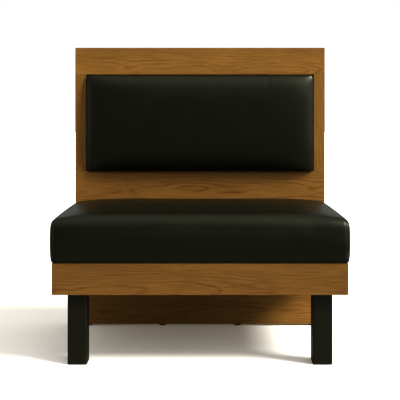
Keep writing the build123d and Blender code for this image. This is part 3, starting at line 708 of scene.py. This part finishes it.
# The dust cover under the seat cushion.
# Thin black spunbond cloth, dotted where its fibres are bonded. It is stretched over the open
# middle of the board, inside the turned-in vinyl, with small puckers in from the staples.
cloth_x, cloth_front, cloth_rear = 0.4322, -0.2442, 0.2072
cloth_height, cloth_thickness = 0.33475, 0.0003
cloth_size = (2 * cloth_x, cloth_rear - cloth_front)
cloth_middle = (0.0, (cloth_front + cloth_rear) / 2, cloth_height)
staple_spacing, staple_inset = 0.06, 0.008
pucker_height, pucker_reach, pucker_start = 0.00017, 0.02, 0.006
cloth_black, cloth_worn = (0.012, 0.012, 0.013), (0.035, 0.035, 0.037)

spunbond, tree, shader = new_material(
    "black spunbond cloth", Specular_IOR_Level=0.15, Sheen_Weight=0.15, Sheen_Roughness=0.5
)
place = add_node(tree, "TexCoord").outputs["Object"]
fibres = noise(tree, place, 420.0, 6.0, Roughness=0.7, Distortion=2.5)
inputs = {"Vector": place, "Scale": 640.0, "Randomness": 0.15}
dots = add_node(tree, "TexVoronoi", inputs, voronoi_dimensions="2D").outputs["Distance"]
bonded = spread(tree, dots, 0.16, 0.26, 1.0, 0.0, smooth=True)
colour = mix(tree, spread(tree, fibres, 0.35, 0.7), cloth_black, cloth_worn)
roughness = spread(tree, bonded, 0.0, 1.0, 0.9, 0.6)
relief = calculate(tree, "MULTIPLY_ADD", bonded, -0.6, fibres)
give_texture(tree, shader, relief, 0.5, 0.0003, Base_Color=colour, Roughness=roughness)

bpy.ops.object.select_all(action="DESELECT")
bpy.ops.mesh.primitive_grid_add(
    x_subdivisions=144, y_subdivisions=76, size=1.0, location=cloth_middle
)
dust_cloth = bpy.context.object
dust_cloth.name = "dust_cloth"
dust_cloth.scale = (*cloth_size, 1.0)
bpy.ops.object.transform_apply(location=True, rotation=True, scale=True)
place = points_of(dust_cloth)
from_edge_x = cloth_x - np.abs(place[:, 0])
from_edge_y = np.minimum(place[:, 1] - cloth_front, cloth_rear - place[:, 1])
from_staple = place[:, 1] - cloth_front - staple_inset
puckers = np.cos(2 * pi * place[:, 0] / staple_spacing) * np.exp(-from_edge_y / pucker_reach)
puckers += np.cos(2 * pi * from_staple / staple_spacing) * np.exp(-from_edge_x / pucker_reach)
puckers *= np.clip(np.minimum(from_edge_x, from_edge_y) / pucker_start, 0.3, 1)
place[:, 2] += pucker_height * puckers
move_points(dust_cloth, place)
wall = dust_cloth.modifiers.new("cloth", "SOLIDIFY")
wall.thickness = cloth_thickness
wall.offset = 0.0
bpy.ops.object.modifier_apply(modifier=wall.name)
bpy.ops.object.shade_smooth()
dust_cloth.data.materials.append(spunbond)
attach(dust_cloth, "seat_cushion")
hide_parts("seat_dust_cover")

# The staples of the dust cover.
# Flat steel wire staples with a 10 mm crown and two short legs driven into the board, 60 mm apart
# all round the cloth and 8 mm in from its edge.
crown_length, leg_length, wire_width, wire_thickness = 0.0102, 0.003, 0.0012, 0.0005
staple_z = cloth_height - cloth_thickness / 2 - wire_thickness / 2
bpy.ops.object.select_all(action="DESELECT")
bpy.ops.mesh.primitive_cube_add(size=1.0)
staple = bpy.context.object
staple.scale = (crown_length, wire_width, wire_thickness)
bpy.ops.object.transform_apply(location=True, rotation=True, scale=True)
bpy.ops.object.mode_set(mode="EDIT")
for leg_x in (crown_length / 2 - wire_width, wire_width - crown_length / 2):
    bpy.ops.mesh.select_all(action="SELECT")
    bpy.ops.mesh.bisect(plane_co=(leg_x, 0, 0), plane_no=(1, 0, 0))
bpy.ops.mesh.select_mode(type="FACE")
bpy.ops.mesh.select_all(action="DESELECT")
mesh = bmesh.from_edit_mesh(staple.data)
for face in mesh.faces:
    middle = face.calc_center_median()
    face.select_set(face.normal.z > 0.9 and abs(middle.x) > crown_length / 2 - wire_width)
bmesh.update_edit_mesh(staple.data)
bpy.ops.mesh.extrude_region_move(TRANSFORM_OT_translate={"value": (0, 0, leg_length)})
bpy.ops.object.mode_set(mode="OBJECT")
eased = staple.modifiers.new("eased", "BEVEL")
eased.width = 0.00015
eased.segments = 1
bpy.ops.object.modifier_apply(modifier=eased.name)

# Each is set a little askew
staple_places = []
for i in range(-7, 8):
    for y in (cloth_front + staple_inset, cloth_rear - staple_inset):
        staple_places.append((i * staple_spacing, y, 0.0))
for j in range(1, 7):
    for x in (-cloth_x + staple_inset, cloth_x - staple_inset):
        staple_places.append((x, cloth_front + staple_inset + j * staple_spacing, 90.0))
copies = []
for x, y, turn in staple_places:
    pick(staple)
    bpy.ops.object.duplicate()
    one = bpy.context.object
    one.location = (x, y, staple_z)
    one.rotation_euler = (0.0, 0.0, radians(turn + 4 * sin(31 * x + 17 * y)))
    copies.append(one)
pick(staple)
bpy.ops.object.delete()
for one in copies:
    one.select_set(True)
staples = copies[0]
bpy.context.view_layer.objects.active = staples
bpy.ops.object.join()
bpy.ops.object.transform_apply(location=True, rotation=True, scale=True)
staples.name = "dust_cloth_staples"
bpy.ops.object.shade_smooth_by_angle(angle=radians(35))
staples.data.materials.append(zinc)
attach(staples, "seat_cushion")
